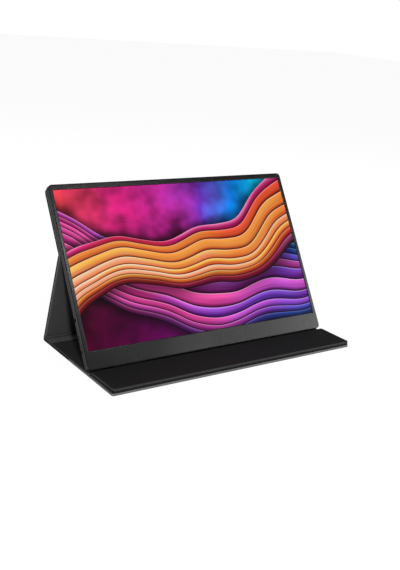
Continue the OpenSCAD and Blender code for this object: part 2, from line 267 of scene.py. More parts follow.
def smooth_leather_material(name, low, high, rough, spec):
    """The cover's turned hems and edges: the same leather, pressed flatter, with a finer grain. The hem, fold and
    lip-hem copies are lighter and paint highlights; the under-edge copy is darker and paints shade.
    """
    k = Mat(name, "UV")
    cells = k.voronoi(1700.0, "DISTANCE_TO_EDGE")
    pebble = k.span(cells, 0.0, 0.22, 0.0, 1.0, "SMOOTHSTEP")
    broad = k.noise(40.0, 3.0, 0.5)
    rub = k.noise(340.0, 3.0, 0.6)
    col = k.ramp(k.math("ADD", k.math("MULTIPLY", broad, 0.6), k.math("MULTIPLY", rub, 0.4)),
                 [(0.3, (low, low, low * 1.01)), (0.7, (high, high, high * 1.01))])
    k.set(base=col, rough=k.span(rub, 0.3, 0.7, rough - 0.05, rough + 0.07), spec=spec,
          normal=k.bump(pebble, 0.2, 0.0001))
    return k.m


def lining_material(name, tone, streak=0.12, sheen=0.012, spec=0.05):
    """Short brushed microfibre: a fine nap with brushed patches and single fibres."""
    k = Mat(name, "UV")
    nap = k.noise(3600.0, 3.0, 0.7)
    brushed = k.noise(1.0, 4.0, 0.6, vec=k.scaled((60.0, 14.0, 1.0)))
    fibre = k.noise(1.0, 2.0, 0.6, vec=k.scaled((900.0, 5200.0, 1.0), rot=(0, 0, 0.5)))
    tot = k.math("ADD", k.math("MULTIPLY", nap, 0.5), k.math("MULTIPLY", fibre, 0.5))
    val = k.math("ADD", k.math("MULTIPLY", k.math("SUBTRACT", tot, 0.5), 0.9),
                 k.math("MULTIPLY", k.math("SUBTRACT", brushed, 0.5), streak * 3))
    lo, hi = tuple(c * 0.72 for c in tone), tuple(c * 1.3 for c in tone)
    col = k.ramp(k.math("ADD", val, 0.5), [(0.15, lo), (0.85, hi)])
    k.set(base=col, rough=0.92, spec=spec, sheen=sheen, sheen_rough=0.45,
          normal=k.bump(tot, 0.5, 0.00015))
    return k.m


def spine_material():
    """The narrow woven strip along the spine: fine ribs running across it."""
    k = Mat("spine_strip", "UV")
    x, y, z = k.xyz()
    rib = k.math("SINE", k.math("MULTIPLY", y, 2 * math.pi / 0.0009))
    thread = k.math("SINE", k.math("MULTIPLY", x, 2 * math.pi / 0.0006))
    weave = k.math("ADD", k.math("MULTIPLY", rib, 0.6), k.math("MULTIPLY", thread, 0.4))
    broad = k.noise(90.0, 3.0, 0.5)
    col = k.ramp(k.math("ADD", k.math("MULTIPLY", weave, 0.25), broad), [(0.25, grey(37)), (0.8, grey(48))])
    k.set(base=col, rough=k.span(broad, 0.3, 0.7, 0.55, 0.7), spec=0.3, sheen=0.1, sheen_rough=0.4,
          normal=k.bump(weave, 0.3, 0.0001))
    return k.m


def plastic_material(name, tone, rough, grain=2600.0, strength=0.16, spec=0.42):
    """Moulded matte plastic: fine spark-eroded texture with slight drift in gloss."""
    k = Mat(name)
    tex = k.noise(grain, 3.0, 0.6)
    pits = k.voronoi(grain * 0.7, "F1")
    broad = k.noise(18.0, 3.0, 0.5)
    h = k.math("ADD", tex, k.math("MULTIPLY", pits, 0.6))
    lo, hi = tuple(c * 0.86 for c in tone), tuple(c * 1.14 for c in tone)
    col = k.ramp(k.math("ADD", k.math("MULTIPLY", tex, 0.35), k.math("MULTIPLY", broad, 0.65)), [(0.3, lo), (0.7, hi)])
    k.set(base=col, rough=k.span(broad, 0.3, 0.7, rough - 0.04, rough + 0.04), spec=spec,
          normal=k.bump(h, strength, 0.00008))
    return k.m


def metal_material(name, tone, rough, metal=1.0):
    k = Mat(name)
    line = k.noise(1.0, 3.0, 0.6, vec=k.scaled((300.0, 4000.0, 4000.0)))
    broad = k.noise(60.0, 3.0, 0.5)
    lo, hi = tuple(c * 0.8 for c in tone), tuple(min(1.0, c * 1.1) for c in tone)
    col = k.ramp(k.math("ADD", k.math("MULTIPLY", line, 0.6), k.math("MULTIPLY", broad, 0.4)), [(0.3, lo), (0.7, hi)])
    k.set(base=col, rough=k.span(line, 0.3, 0.7, rough - 0.06, rough + 0.08), metal=metal,
          normal=k.bump(line, 0.15, 0.00004))
    return k.m


def board_material(name, tone, mask):
    k = Mat(name)
    n = k.noise(900.0, 4.0, 0.6)
    b = k.voronoi(220.0, "F1")
    lo, hi = tuple(c * 0.7 for c in tone), tuple(min(1.0, c * 1.25) for c in tone)
    col = k.ramp(k.math("ADD", k.math("MULTIPLY", n, 0.6), k.math("MULTIPLY", b, mask)), [(0.25, lo), (0.8, hi)])
    k.set(base=col, rough=k.span(n, 0.3, 0.7, 0.5, 0.75), normal=k.bump(n, 0.25, 0.0001))
    return k.m


def screen_material():
    """Lit display behind a satin polariser. Its picture is a generic one: silk ribbons sweeping over a soft dark ground."""
    k = Mat("screen")
    M, A, S = (lambda a, b: k.math("MULTIPLY", a, b)), (lambda a, b: k.math("ADD", a, b)), (lambda a, b: k.math("SUBTRACT", a, b))

    def vec(a, b=0.0, c=0.0):
        return k.node("ShaderNodeCombineXYZ", 0, None, X=a, Y=b, Z=c)

    def tint(val):
        return k.node("ShaderNodeCombineColor", 0, None, Red=val, Green=val, Blue=val)

    x, y, z = k.xyz()
    # picture coordinates: u across from 0 to 1.78, v up from 0 to 1
    u = k.math("DIVIDE", A(x, ACT_W / 2000), ACT_H / 1000)
    y0, z0 = mon(0, CHIN, 0)[1:]
    v = k.math("DIVIDE", A(M(S(y, y0), CA), M(S(z, z0), SA)), ACT_H / 1000)

    # ground: out-of-focus colour, dark below, glowing above
    blot = k.noise(2.4, 3.0, 0.5, vec=vec(u, v, 2.2))
    blot2 = k.noise(5.5, 2.0, 0.5, vec=vec(u, v, 5.1))
    uu = A(k.math("DIVIDE", u, 1.78), M(S(blot, 0.5), 0.35))
    top = k.ramp(uu, [(0.0, (1.0, 0.06, 0.10)), (0.2, (1.0, 0.02, 0.30)), (0.42, (0.75, 0.03, 0.45)), (0.6, (0.16, 0.04, 0.60)),
                      (0.74, (0.0, 0.24, 0.90)), (0.92, (0.0, 0.66, 1.0))])
    low = k.ramp(uu, [(0.0, (0.10, 0.0, 0.03)), (0.35, (0.12, 0.0, 0.09)), (0.6, (0.03, 0.0, 0.10)), (0.8, (0.0, 0.0, 0.03)),
                      (1.0, (0.0, 0.003, 0.02))])
    rise = k.span(A(v, M(S(blot2, 0.5), 0.5)), 0.32, 0.95, 0.0, 1.0, "SMOOTHSTEP")
    ground = k.mix(rise, low, top)
    ground = k.mix(1.0, ground, tint(k.span(A(M(blot, 0.5), M(blot2, 0.5)), 0.34, 0.62, 0.25, 1.15)), "MULTIPLY")

    def ribbons(ground, turn, cu, cv, sway, fan, n, lo_i, hi_i, seed, light_stops, deep_stops, spread, lean):
        """One sweep of overlapping silk ribbons laid over the ground: along and across run with and against it."""
        th = math.radians(turn)
        du, dv = S(u, cu), S(v, cv)
        al = A(M(du, math.cos(th)), M(dv, math.sin(th)))
        ac = S(M(dv, math.cos(th)), M(du, math.sin(th)))
        bend = M(k.math("SINE", A(M(al, sway[0]), sway[1])), sway[2])
        wob = M(S(k.noise(1.0, 1.0, 0.4, vec=vec(M(al, 1.5), ac, seed)), 0.5), 0.34)
        wide = A(fan[0], M(k.math("SINE", A(M(al, fan[1]), fan[2])), fan[3]))
        q = k.math("DIVIDE", A(A(ac, bend), wob), wide)
        q = A(q, M(k.math("SINE", A(M(q, 11.0), seed)), 0.032))
        band = M(q, n)
        i = k.math("FLOOR", band)
        f = k.math("FRACT", band)
        pick = k.node("ShaderNodeTexWhiteNoise", 0, {"noise_dimensions": "1D"}, W=A(i, seed + 0.5))
        drift = k.noise(1.0, 1.0, 0.4, vec=vec(M(al, 1.9), M(i, 3.7), seed))
        silk = k.noise(1.0, 3.0, 0.62, vec=vec(M(al, 2.6), M(q, 110.0), M(i, 1.3)))
        h = A(A(M(k.math("ABSOLUTE", q), spread), M(du, lean)), A(M(S(pick, 0.5), 0.34), M(S(drift, 0.5), 0.55)))
        light = k.ramp(h, light_stops)
        deep = k.ramp(h, deep_stops)
        lift = k.math("POWER", f, k.span(pick, 0.0, 1.0, 0.85, 2.2))
        lift = A(M(lift, k.span(drift, 0.3, 0.7, 0.5, 1.2)), M(S(silk, 0.5), 0.75))
        col = k.mix(k.math("ADD", lift, 0.0, clamp=True), deep, light)
        crest = k.span(f, 0.9, 0.985, 0.0, 0.8, "SMOOTHSTEP")
        col = k.mix(crest, col, k.mix(0.35, light, (1.0, 0.92, 0.9)))
        col = k.mix(1.0, col, tint(k.span(f, 0.0, 0.3, 0.06, 1.0, "SMOOTHSTEP")), "MULTIPLY")
        on = M(k.math("GREATER_THAN", i, lo_i), k.math("LESS_THAN", i, hi_i))
        col = k.mix(1.0, col, tint(k.span(band, lo_i + 0.5, lo_i + 3.2, 0.2, 1.0, "SMOOTHSTEP")), "MULTIPLY")
        over = k.span(band, hi_i + 0.5, hi_i + 2.4, 0.25, 1.0, "SMOOTHSTEP")
        less = k.span(band, lo_i - 1.5, lo_i + 0.5, 1.0, 0.3, "SMOOTHSTEP")
        side = k.math("GREATER_THAN", band, 0.0)
        shade = A(M(side, over), M(S(1.0, side), less))
        return k.mix(on, k.mix(1.0, ground, tint(shade), "MULTIPLY"), col)

    cool = [(0.0, (1.0, 0.10, 0.45)), (0.2, (0.80, 0.12, 0.75)), (0.4, (0.34, 0.10, 0.85)), (0.6, (0.05, 0.14, 0.90)),
            (0.8, (0.02, 0.42, 1.0)), (1.0, (0.50, 0.75, 1.0))]
    cool_deep = [(0.0, (0.22, 0.0, 0.09)), (0.4, (0.06, 0.0, 0.16)), (0.7, (0.0, 0.01, 0.17)), (1.0, (0.0, 0.05, 0.24))]
    warm = [(0.0, (1.0, 0.88, 0.62)), (0.13, (1.0, 0.64, 0.12)), (0.27, (1.0, 0.27, 0.03)), (0.42, (1.0, 0.05, 0.05)),
            (0.58, (1.0, 0.04, 0.30)), (0.75, (1.0, 0.40, 0.72)), (1.0, (0.62, 0.30, 0.95))]
    warm_deep = [(0.0, (0.80, 0.14, 0.02)), (0.3, (0.45, 0.01, 0.01)), (0.6, (0.24, 0.0, 0.06)), (1.0, (0.08, 0.0, 0.16))]
    pic = ribbons(ground, -13, 0.95, 0.36, (2.6, 1.9, 0.10), (0.60, 2.3, 0.9, 0.16), 12.0, -5.5, 4.5, 3.3, cool, cool_deep, 0.9, 0.36)
    pic = ribbons(pic, 13, 0.86, 0.50, (3.3, 0.3, 0.10), (0.62, 2.2, -0.6, 0.20), 12.0, -4.5, 3.5, 8.1, warm, warm_deep, 1.5, 0.10)

    inside = M(M(k.math("GREATER_THAN", u, 0.0), k.math("LESS_THAN", u, ACT_W / ACT_H)),
               M(k.math("GREATER_THAN", v, 0.0), k.math("LESS_THAN", v, 1.0)))
    film = k.noise(9000.0, 2.0, 0.5)
    k.set(base=k.ramp(film, [(0.3, (0.001, 0.001, 0.0012)), (0.7, (0.002, 0.002, 0.0022))]),
          rough=0.28, spec=0.012, emit=pic, emit_w=M(inside, 0.98),
          normal=k.bump(film, 0.05, 0.00002))
    return k.m


LEATHER = leather_material()
EDGE = smooth_leather_material("cover_edge_leather", 0.011, 0.017, 0.5, 0.15)
# painted highlight: the hem ring is a much lighter copy of the leather, so that it reads as a lit hem
HEM_PAINTED_HIGHLIGHT = smooth_leather_material("cover_hem_painted_highlight", 0.042, 0.058, 0.5, 0.35)
# painted highlight: a much lighter, glossier copy of the leather on the flap's front fold and inner rim, standing for
# the lit edge
FOLD_PAINTED_HIGHLIGHT = smooth_leather_material("cover_fold_painted_highlight", 0.05, 0.066, 0.45, 0.4)
# painted shade: a near-black, dull copy of the leather under and along the cover's edges
LOW_EDGE_PAINTED_SHADE = smooth_leather_material("cover_under_edge_painted_shade", 0.0015, 0.003, 0.75, 0.02)
# painted highlight: a lighter copy of the leather for the lip's top hem line
LIP_RIM_PAINTED_HIGHLIGHT = smooth_leather_material("cover_lip_hem_painted_highlight", 0.010, 0.016, 0.55, 0.15)
LINING = lining_material("cover_lining", grey(36))
# painted light: the strut's lining is a lighter copy of the same lining, standing for the light falling on the strut
STRUT_PAINTED_LIGHTER_LINING = lining_material("strut_lining", grey(42), sheen=0.05, spec=0.1)
SPINE = spine_material()
FRAME_P = plastic_material("frame_plastic", grey(8), 0.25, 2600.0, 0.015, 0.19)
SHELL_P = plastic_material("shell_plastic", grey(17), 0.5, 1700.0, 0.25, 0.3)
KEY_P = plastic_material("key_plastic", grey(11), 0.4, 3000.0, 0.1, 0.25)
# the power key's own plastic, darkened to near-black: painted shade standing for the dark slot seen at that place
POWER_KEY_PAINTED_SHADE = plastic_material("power_key_painted_shade", grey(2), 0.5, 3000.0, 0.1, 0.06)
PAD = plastic_material("pad_rubber", grey(22), 0.85, 1500.0, 0.25, 0.25)
JACK_P = plastic_material("socket_plastic", grey(5), 0.6, spec=0.1)
STEEL = metal_material("steel", (0.56, 0.57, 0.59), 0.32)
SOCKET = metal_material("socket_steel", (0.42, 0.42, 0.44), 0.28)
PCB = board_material("circuit_board", (0.03, 0.14, 0.07), 0.4)
FIBRE = board_material("board_fibre", (0.25, 0.2, 0.14), 0.3)
CHIP = plastic_material("chip_plastic", grey(36), 0.6)
FLEX = board_material("flex", (0.55, 0.33, 0.12), 0.2)
FILM = plastic_material("film", grey(235), 0.3, 900.0, 0.05)
ACRYLIC = plastic_material("acrylic", grey(222), 0.15, 900.0, 0.03)
LED = board_material("led", (0.75, 0.7, 0.5), 0.2)
SCREEN = screen_material()

BY_SLOT = {"frame_plastic": FRAME_P, "screen_glass": SCREEN, "film": FILM, "film_white": FILM, "acrylic": ACRYLIC,
           "led": LED, "steel": STEEL, "circuit_board": PCB, "flex": FLEX, "shell_plastic": SHELL_P,
           "chip_plastic": CHIP, "socket_steel": SOCKET, "socket_plastic": JACK_P, "pad_rubber": PAD,
           "key_plastic": KEY_P, "cover_leather": LEATHER, "cover_lining": LINING, "spine_lining": SPINE,
           "board_fibre": FIBRE}
slot_of = {s["node"]: s["material_slot"] for s in frame["record"]["subparts"]}
for name, ob in frame["nodes"].items():
    ob.data.materials.clear()
    ob.data.materials.append(BY_SLOT[slot_of[name]])


# ------------------------------------------------------------------ mesh helpers
def new_object(name, verts, faces, mats, uvs=None, mat_index=None, smooth_angle=38.0, weld=2e-6):
    me = bpy.data.meshes.new(name)
    me.from_pydata([tuple(v) for v in verts], [], [tuple(f) for f in faces])
    for m in mats:
        me.materials.append(m)
    if mat_index is not None:
        me.polygons.foreach_set("material_index", mat_index)
    if uvs is not None:
        layer = me.uv_layers.new(name="UVMap")
        idx = np.zeros(len(me.loops), np.int64)
        me.loops.foreach_get("vertex_index", idx)
        layer.data.foreach_set("uv", np.asarray(uvs, np.float32)[idx].ravel())
    bm = bmesh.new()
    bm.from_mesh(me)
    bmesh.ops.remove_doubles(bm, verts=bm.verts, dist=weld)
    bmesh.ops.dissolve_degenerate(bm, edges=bm.edges, dist=1e-7)
    bmesh.ops.recalc_face_normals(bm, faces=bm.faces)
    bm.to_mesh(me)
    bm.free()
    me.polygons.foreach_set("use_smooth", [True] * len(me.polygons))
    me.set_sharp_from_angle(angle=math.radians(smooth_angle))
    me.update()
    ob = bpy.data.objects.new(name, me)
    scene.collection.objects.link(ob)
    return ob


# ------------------------------------------------------------------ the cover's centre line, seen from the side
class Path:
    """A polyline in Y and Z with tangents turned by arcs, and the distance along it."""

    def __init__(self, corners, radii):
        pts = [np.array(corners[0], float)]
        self.mark = [0.0]
        for i in range(1, len(corners) - 1):
            p0, p, p1 = (np.array(c, float) for c in corners[i - 1:i + 2])
            a, b = p - p0, p1 - p
            a, b = a / np.linalg.norm(a), b / np.linalg.norm(b)
            turn = math.atan2(a[0] * b[1] - a[1] * b[0], float(a @ b))
            r = radii[i - 1]
            if abs(turn) < 1e-3 or r <= 0:
                pts.append(p)
                continue
            t = r * math.tan(abs(turn) / 2)
            start = p - a * t
            n = np.array([-a[1], a[0]]) * (1 if turn > 0 else -1)
            c = start + n * r
            steps = max(4, int(abs(math.degrees(turn)) / 7))
            for k in range(steps + 1):
                ang = turn * k / steps
                q = start - c
                pts.append(c + np.array([q[0] * math.cos(ang) - q[1] * math.sin(ang),
                                         q[0] * math.sin(ang) + q[1] * math.cos(ang)]))
        pts.append(np.array(corners[-1], float))
        self.p = np.array(pts)
        seg = np.linalg.norm(np.diff(self.p, axis=0), axis=1)
        self.s = np.concatenate([[0], np.cumsum(seg)])
        self.length = self.s[-1]

    def at(self, s):
        s = np.atleast_1d(s)
        y = np.interp(s, self.s, self.p[:, 0])
        z = np.interp(s, self.s, self.p[:, 1])
        e = 0.05
        y0, y1 = np.interp(s - e, self.s, self.p[:, 0]), np.interp(s + e, self.s, self.p[:, 0])
        z0, z1 = np.interp(s - e, self.s, self.p[:, 1]), np.interp(s + e, self.s, self.p[:, 1])
        t = np.stack([y1 - y0, z1 - z0], 1)
        t /= np.linalg.norm(t, axis=1)[:, None]
        n = np.stack([-t[:, 1], t[:, 0]], 1)     # to the left of the way along: the inner face
        return np.stack([y, z], 1), n

    def near(self, y, z):
        d = np.hypot(self.p[:, 0] - y, self.p[:, 1] - z)
        fine = np.linspace(0, self.length, 6000)
        q, _ = self.at(fine)
        return float(fine[np.argmin(np.hypot(q[:, 0] - y, q[:, 1] - z))])


def edge_steps(n_inner, length, dense):
    """Positions from 0 to length, close together at both ends as dense says, and n_inner even steps between."""
    lo = np.array(dense)
    mid = np.linspace(lo[-1], length - lo[-1], n_inner + 1)[1:-1]
    return np.concatenate([lo, mid, length - lo[::-1]])


DENSE = [0, 0.08, 0.22, 0.42, 0.68, 1.0, 1.4, 1.9, 2.2, 2.42, 2.6, 2.78, 3.0, 3.3, 4.2, 6.0]


def round_off(d, r):
    return np.sqrt(np.clip(1 - (1 - np.clip(d / r, 0, 1)) ** 2, 0, 1))


def groove(d, at=2.6, wide=0.26, deep=0.16):
    return deep * np.exp(-((d - at) / wide) ** 2)


def band(name, path, s0, s1, width, ends, folds, mats, inset=0.0, up=None, corner=3.0, x_steps=40, s_gap=6.0,
         r_edge=1.2, grooved=True, rims=(0.75, 2.62, 1.05, 0.0)):
    """A closed sheet along the path from s0 to s1. ends says at which ends it is a real rounded end.
    folds is a list of (s, half length, outer depth, inner depth) where the boards stop and only skin runs on.
    With up set, the sheet is only a thin layer lying on the inner face, up millimetres proud.
    rims gives how far in from its edge the edge and the hem reach, first on the inner face, then on the outer one;
    the materials are the face's, the inner hem's, the inner edge's, the outer edge's and the outer hem's."""
    L = s1 - s0
    W = width - 2 * inset
    xs = edge_steps(x_steps, W, DENSE) - W / 2
    lo = DENSE if ends[0] else [0, 2.0]
    hi = DENSE if ends[1] else [0, 2.0]
    marks = set(np.round(np.concatenate([np.array(lo), L - np.array(hi)]), 4))
    for f in folds:
        for k in np.linspace(-1, 1, 17):
            marks.add(round(f[0] - s0 + k * (f[1] + 1.8), 4))
        for k in np.linspace(0, 1.6, 7):
            marks.add(round(f[0] - s0 - f[1] - k, 4))
            marks.add(round(f[0] - s0 + f[1] + k, 4))
    for k in path.s:
        if s0 < k < s1:
            marks.add(round(k - s0, 4))
    n_mid = int(L / s_gap)
    base = sorted(m for m in marks if 0 <= m <= L)
    for g in np.linspace(0, L, n_mid + 1):
        if min(abs(g - m) for m in base) > s_gap * 0.45:
            base.append(g)
    base.sort()
    ss = [base[0]]
    for m in base[1:]:
        if m - ss[-1] > 0.035:
            ss.append(m)
    ss = np.array(ss)
    ss[-1] = L
    X, S = np.meshgrid(xs, ss)
    # corners of a real end are rounded in plan
    dx = W / 2 - np.abs(X)
    for which, end in ((0, ends[0]), (1, ends[1])):
        if not end:
            continue
        de = S if which == 0 else L - S
        a = np.clip(1 - dx / corner, 0, 1)
        b = np.clip(1 - de / corner, 0, 1)
        both = (a > 0) & (b > 0)
        na = a * np.sqrt(np.clip(1 - b * b / 2, 0, 1))
        nb = b * np.sqrt(np.clip(1 - a * a / 2, 0, 1))
        X = np.where(both, np.sign(X) * (W / 2 - corner * (1 - na)), X)
        de2 = np.where(both, corner * (1 - nb), de)
        S = de2 if which == 0 else L - de2
    dx = W / 2 - np.abs(X)
    d = dx.copy()
    for which, end in ((0, ends[0]), (1, ends[1])):
        if not end:
            continue
        de = S if which == 0 else L - S
        cornered = (dx < corner) & (de < corner)
        dc = corner - np.hypot(corner - dx, corner - de)
        d = np.where(cornered, np.minimum(d, dc), np.minimum(d, de))
    d = np.clip(d, 0, None)
    c, n = path.at((S + s0).ravel())
    c, n = c.reshape(*S.shape, 2), n.reshape(*S.shape, 2)
    ho, hi_ = np.full(S.shape, HT), np.full(S.shape, HT)
    for fs, half, od, idp in folds:
        away = np.abs(S + s0 - fs) - half
        k = 1 - round_off(np.clip(away, 0, None), 1.5)
        k = np.where(away < 0, 1.0, k)
        ho = ho - (HT - od) * k
        hi_ = hi_ - (HT - idp) * k
    if up is None:
        e = round_off(d, r_edge)
        q, m = (ho + hi_) / 2, (hi_ - ho) / 2
        cut = groove(d) if grooved else 0.0
        inner = m + q * e - cut * (e > 0.99)
        outer = m - q * e + cut * (e > 0.99)
    else:
        e = round_off(d, 0.5)
        inner = hi_ - 0.3 + (0.3 + up) * e
        outer = hi_ - 0.3 - 0.0 * e
    def grid(off):
        p = c + n * off[..., None]
        return np.stack([X, p[..., 0], p[..., 1]], -1)
    gi, go = grid(inner), grid(outer)
    rows, cols = S.shape
    verts = np.concatenate([gi.reshape(-1, 3), go.reshape(-1, 3)])
    uvs = np.concatenate([np.stack([(X + width / 2) * 0.001, (S + s0) * 0.001], -1).reshape(-1, 2)] * 2)
    faces, mi = [], []
    nv = rows * cols
    edge_d = d
    for r in range(rows - 1):
        for k in range(cols - 1):
            a = r * cols + k
            quad = (a, a + 1, a + cols + 1, a + cols)
            far = max(edge_d[r, k], edge_d[r + 1, k + 1], edge_d[r, k + 1], edge_d[r + 1, k])
            faces.append(quad)
            faces.append(tuple(q + nv for q in quad[::-1]))
            if len(mats) > 2:
                mi += [2 if far < rims[0] else (1 if far < rims[1] else 0), 3 if far < rims[2] else (4 if far < rims[3] else 0)]
            else:
                mi += [0, 0]
    for r, real in ((0, ends[0]), (rows - 1, ends[1])):
        if not real or up is not None:
            for k in range(cols - 1):
                a = r * cols + k
                faces.append((a, a + 1, a + 1 + nv, a + nv))
                mi.append(0)
    if up is not None:
        for k in (0, cols - 1):
            for r in range(rows - 1):
                a = r * cols + k
                faces.append((a, a + cols, a + cols + nv, a + nv))
                mi.append(0)
    verts = [world(*p) for p in verts]
    return new_object(name, verts, faces, mats, uvs, mi)


# flap, base, spine, strut and upper rear panel on one line
FLAP_Y0 = FRONT_Y + 0.4
MAIN = Path([(FLAP_Y0, HT), (REAR_Y, HT), (MID_Y, MID_Z),
             (MID_Y + (82) * CA, MID_Z + (82) * SA)], [1.2, 7.0])
S_CREASE = CREASE_Y - FLAP_Y0
S_SPINE = (REAR_Y - 1.8 - 16 + 1) - FLAP_Y0 - 1.0
S_REAR = MAIN.near(REAR_Y, HT)
S_MID = MAIN.near(MID_Y, MID_Z)
S_END = MAIN.length
F_CREASE = (S_CREASE, 1.1, 1.1, -0.45)
F_SPINE = (S_SPINE, 0.9, 1.15, -0.2)
F_REAR = (S_REAR, 1.9, 0.95, -0.1)
F_MID = (S_MID, 2.6, 0.6, 0.75)
HALF_BASE = S_CREASE + 48.0
HALF_STRUT = (S_REAR + S_MID) / 2

# the flap's front edge: the lighter fold leather on its inner rim and edge paints a highlight, and the dark under-edge
# leather beneath paints shade
flap_band = band("cover_front", MAIN, 0.0, HALF_BASE, COVER_W, (True, False), [F_CREASE],
                 [LEATHER, HEM_PAINTED_HIGHLIGHT, FOLD_PAINTED_HIGHLIGHT, FOLD_PAINTED_HIGHLIGHT, LOW_EDGE_PAINTED_SHADE], rims=(1.3, 2.62, 0.23, 1.45), r_edge=0.8)
# base: the hem ring is a painted highlight, and the darkest leather along the edges paints shade
base_band = band("cover_base", MAIN, HALF_BASE, HALF_STRUT, COVER_W, (False, False), [F_SPINE, F_REAR],
                 [LEATHER, HEM_PAINTED_HIGHLIGHT, LOW_EDGE_PAINTED_SHADE, LOW_EDGE_PAINTED_SHADE, LEATHER], rims=(0.5, 2.62, 1.45, 0.0), r_edge=0.8)
# upper rear panel and strut: the same painted highlight on the hem and painted shade along the edges
rear_band = band("cover_rear", MAIN, HALF_STRUT, S_END, COVER_W, (False, True), [F_MID],
                 [LEATHER, HEM_PAINTED_HIGHLIGHT, LOW_EDGE_PAINTED_SHADE, LOW_EDGE_PAINTED_SHADE, LEATHER], corner=7.0, rims=(0.5, 2.62, 1.45, 0.0), r_edge=0.8)

# the last section, folded back on top: its own line, from the fold to its free edge
ct, st = math.cos(math.radians(TILT)), math.sin(math.radians(TILT))
LIP_MID = 1.35 + HT


def lip_point(y, z):
    return (FRONT_Y + y * ct + z * st, FRONT_Z - y * st + z * ct)


# inner face (lining) looks down here, so the line runs from the free edge to the fold
LIP = Path([lip_point(LIP_L, LIP_MID), lip_point(0.4, LIP_MID)], [])
# the lip's top rim takes the lighter lip-hem leather: a painted highlight
lip_band = band("cover_lip", LIP, 0.0, LIP.length, LIP_W, (True, True), [], [LEATHER, EDGE, EDGE, EDGE, LIP_RIM_PAINTED_HIGHLIGHT],
                rims=(0.75, 2.62, 0.1, 1.05))

HEM = 2.6
flap_lining = band("lining_front", MAIN, HEM, HALF_BASE, COVER_W, (True, False), [F_CREASE], [LINING], inset=HEM, up=0.14,
                   corner=1.5)
base_lining = band("lining_base", MAIN, HALF_BASE, S_SPINE - 0.6, COVER_W, (False, True), [F_SPINE], [LINING], inset=HEM,
                   up=0.14, corner=1.5)
spine_strip = band("spine_strip", MAIN, S_SPINE - 0.2, S_REAR + 5.0, COVER_W, (True, True), [F_SPINE, F_REAR], [SPINE], inset=1.2,
                   up=0.08, corner=0.8, s_gap=2.0)
strut_lining = band("lining_strut", MAIN, S_REAR + 5.1, S_MID - 4.6, COVER_W, (True, True), [], [STRUT_PAINTED_LIGHTER_LINING], inset=HEM,
                    up=0.14, corner=1.5)
rear_lining = band("lining_rear", MAIN, S_MID + 4.6, S_END - HEM, COVER_W, (True, True), [], [LINING], inset=HEM, up=0.1,
                   corner=1.5)
lip_lining = band("lining_lip", LIP, HEM, LIP.length - HEM, LIP_W, (True, True), [], [LINING], inset=HEM, up=0.08, corner=1.5)


def fold_strip():
    """The skin between the two front sections' edges, drawn in a little behind their rounded ends."""
    n_x, n_a = 60, 12
    pts = []
    lo, hi = (FRONT_Y + 2.0, 2.05), (FRONT_Y + 2.0, 6.0)
    for k in range(n_a + 1):
        t = k / n_a
        z = lo[1] + (hi[1] - lo[1]) * t
        y = lo[0] - 0.45 * math.sin(math.pi * t)
        pts.append((y, z))
    back = [(y + 0.9, z) for y, z in pts]
    ring = pts + back[::-1]
    xs = np.linspace(-LIP_W / 2 + 0.5, LIP_W / 2 - 0.5, n_x + 1)
    verts, uvs, faces = [], [], []
    m = len(ring)
    for x in xs:
        for j, (y, z) in enumerate(ring):
            verts.append(world(x, y, z))
            uvs.append((x * 0.001, j * 0.0004))
    for i in range(n_x):
        for j in range(m):
            a, b = i * m + j, i * m + (j + 1) % m
            faces.append((a, b, b + m, a + m))
    faces.append(tuple(range(m))[::-1])
    faces.append(tuple(range(n_x * m, n_x * m + m)))
    return new_object("fold_strip", verts, faces, [LEATHER], uvs)


strip = fold_strip()


# ------------------------------------------------------------------ the monitor
def rounded_loop(x0, x1, y0, y1, r, k=9, nx=24, ny=14):
    """Points round a rounded rectangle, anticlockwise, always the same number of them."""
    pts = []
    cs = [(x1 - r, y0 + r, -90), (x1 - r, y1 - r, 0), (x0 + r, y1 - r, 90), (x0 + r, y0 + r, 180)]
    for i, (cx, cy, a0) in enumerate(cs):
        arc = [(cx + r * math.cos(math.radians(a0 + 90 * j / k)), cy + r * math.sin(math.radians(a0 + 90 * j / k)))
               for j in range(k + 1)]
        pts += arc
        nxt = cs[(i + 1) % 4]
        b = (nxt[0] + r * math.cos(math.radians(nxt[2])), nxt[1] + r * math.sin(math.radians(nxt[2])))
        a = arc[-1]
        n = ny if i in (0, 2) else nx
        pts += [(a[0] + (b[0] - a[0]) * j / n, a[1] + (b[1] - a[1]) * j / n) for j in range(1, n)]
    return pts


def loops_to_mesh(name, loops, closed, mats, angle=30.0):
    """loops: list of (points, w). Bridges each loop to the next; closed joins the last to the first."""
    n = len(loops[0][0])
    verts, faces = [], []
    for pts, w in loops:
        assert len(pts) == n
        verts += [mon(p[0], p[1], w if not isinstance(w, list) else w[i]) for i, p in enumerate(pts)]
    m = len(loops)
    for r in range(m if closed else m - 1):
        for i in range(n):
            a, b = r * n + i, r * n + (i + 1) % n
            c, d = ((r + 1) % m) * n + (i + 1) % n, ((r + 1) % m) * n + i
            faces.append((a, b, c, d))
    return verts, faces


